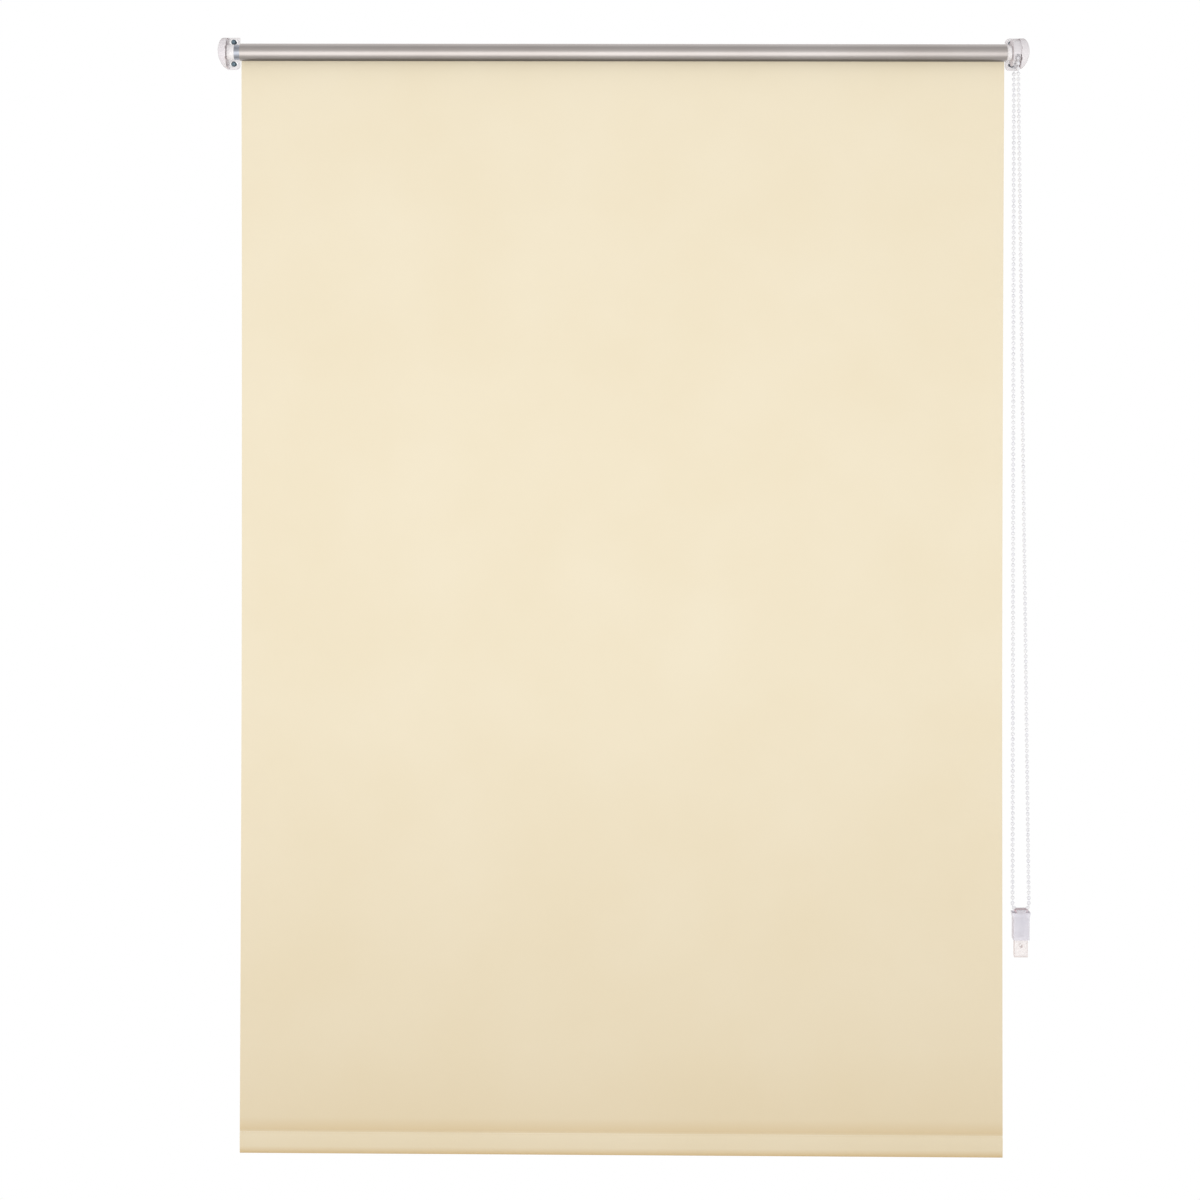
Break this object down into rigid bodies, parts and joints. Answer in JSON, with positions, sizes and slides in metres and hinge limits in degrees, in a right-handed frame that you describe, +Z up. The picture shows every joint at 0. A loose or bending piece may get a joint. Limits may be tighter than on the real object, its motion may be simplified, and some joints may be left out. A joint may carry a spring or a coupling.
{
  "type": "blackout roller blind",
  "caption": "Chain-driven blackout roller blind, fully lowered: slotted wall brackets with clip-on covers, steel roller, coated cloth with a weighted hem, bead chain loop and chain tensioner.",
  "frame": {"origin": "on the wall plane, midway between the brackets, at the height of the roller axis, at the centre of the four screws", "axes": "+X right along the roller as seen from the room, +Y into the wall, +Z up"},
  "size_m": [0.9232, 0.0509, 1.2726],
  "materials": {
    "clear_plastic": "clear to milky moulded polycarbonate",
    "white_plastic": "white moulded acetal",
    "chain_plastic": "white moulded bead chain",
    "zinc_steel": "bright zinc plated steel",
    "spring_steel": "spring wire",
    "tube_steel": "bare rolled steel tube",
    "tape": "double-sided adhesive tape",
    "cloth_cream": "cream polyester, coated",
    "cloth_silver_back": "aluminised reverse of the cloth, outward on the roll",
    "bar_aluminium": "mill aluminium flat bar"
  },
  "bodies": {
    "wall_side": {"bracket_left": "clear_plastic", "bracket_right": "clear_plastic", "cover_left": "clear_plastic", "cover_right": "clear_plastic", "screws_left": "zinc_steel", "screws_right": "zinc_steel", "clutch_post": "white_plastic", "drive_housing": "white_plastic", "bead_chain": "chain_plastic", "tensioner_case": "clear_plastic", "tensioner_saddle": "clear_plastic", "tension_spring": "spring_steel", "cloth_sheet": "cloth_cream"},
    "roller": {"roller_tube": "tube_steel", "fixing_tape": "tape", "cloth_turns": "cloth_silver_back", "idle_plug": "white_plastic", "idle_spring": "spring_steel", "drive_plug": "white_plastic", "chain_wheel": "white_plastic", "clutch_spring": "spring_steel"},
    "hem_bar": {"hem": "cloth_cream", "bottom_bar": "bar_aluminium"},
    "idle_pin": {"idle_pin": "white_plastic"},
    "tensioner_foot": {"tensioner_slider": "white_plastic"}
  },
  "joints": [
    {"name": "roller_spin", "type": "hinge", "parent": "wall_side", "child": "roller", "pos_m": [0, -0.0205, 0], "axis": [1, 0, 0], "range_deg": [0, 5040], "deforming": ["cloth_sheet", "bead_chain"]},
    {"name": "blind_lift", "type": "slide", "parent": "wall_side", "child": "hem_bar", "axis": [0, 0, 1], "range_m": [0, 1.1769], "deforming": ["cloth_sheet"]},
    {"name": "idle_pin_press", "type": "slide", "parent": "roller", "child": "idle_pin", "axis": [1, 0, 0], "range_m": [0, 0.004], "stiffness_N_per_m": 800, "springref_m": -0.004, "deforming": ["idle_spring"]},
    {"name": "tensioner_pull", "type": "slide", "parent": "wall_side", "child": "tensioner_foot", "axis": [0, 0, -1], "range_m": [0, 0.006], "stiffness_N_per_m": 1500, "springref_m": -0.002, "deforming": ["tension_spring"]}
  ],
  "couplings": [
    {"joint": "roller_spin", "follows": "blind_lift", "rad_per_m": 74.738}
  ]
}
